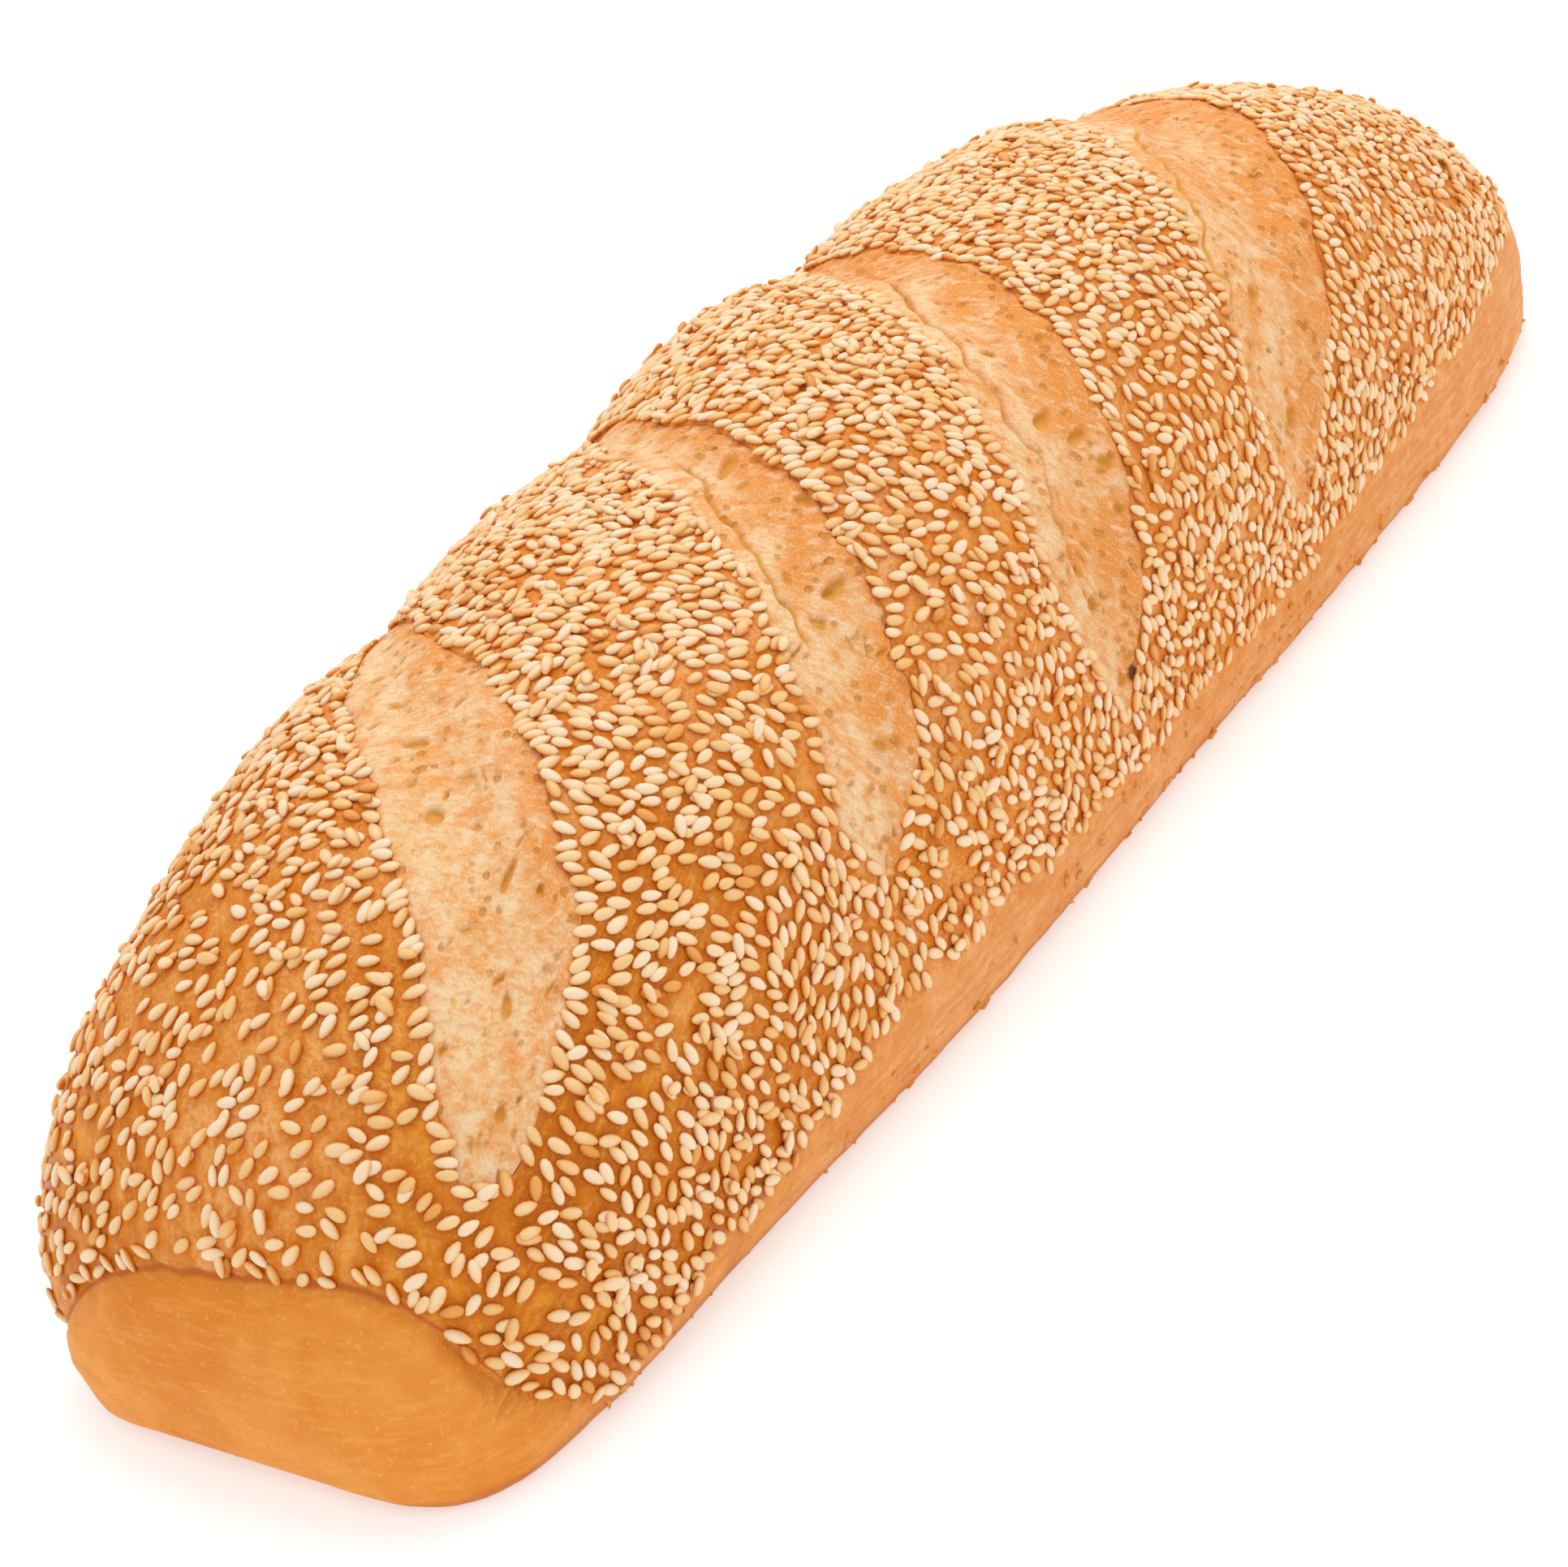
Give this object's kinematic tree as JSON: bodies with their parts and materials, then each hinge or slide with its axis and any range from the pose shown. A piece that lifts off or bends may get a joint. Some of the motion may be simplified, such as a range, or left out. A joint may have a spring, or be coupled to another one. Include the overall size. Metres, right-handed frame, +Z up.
{
  "type": "sesame french bread loaf",
  "caption": "A long scored white loaf with a golden crust, four slanting open slashes over the crown and sesame seeds baked onto its bands, for slicing and serving.",
  "frame": {"origin": "the middle of the loaf's footprint on the surface it rests on", "axes": "+X runs along the loaf, from the bare rounded near end at -X to the far end; +Z is up, out of the crown; -Y is the flank down which the slashes run furthest"},
  "size_m": [0.3702, 0.1066, 0.0865],
  "materials": {
    "baked_crust": "baked crust, matte with a soft sheen at the near end",
    "sesame": "hulled and toasted sesame seed, satin"
  },
  "bodies": {
    "root": {"loaf": "baked_crust"}
  },
  "joints": []
}
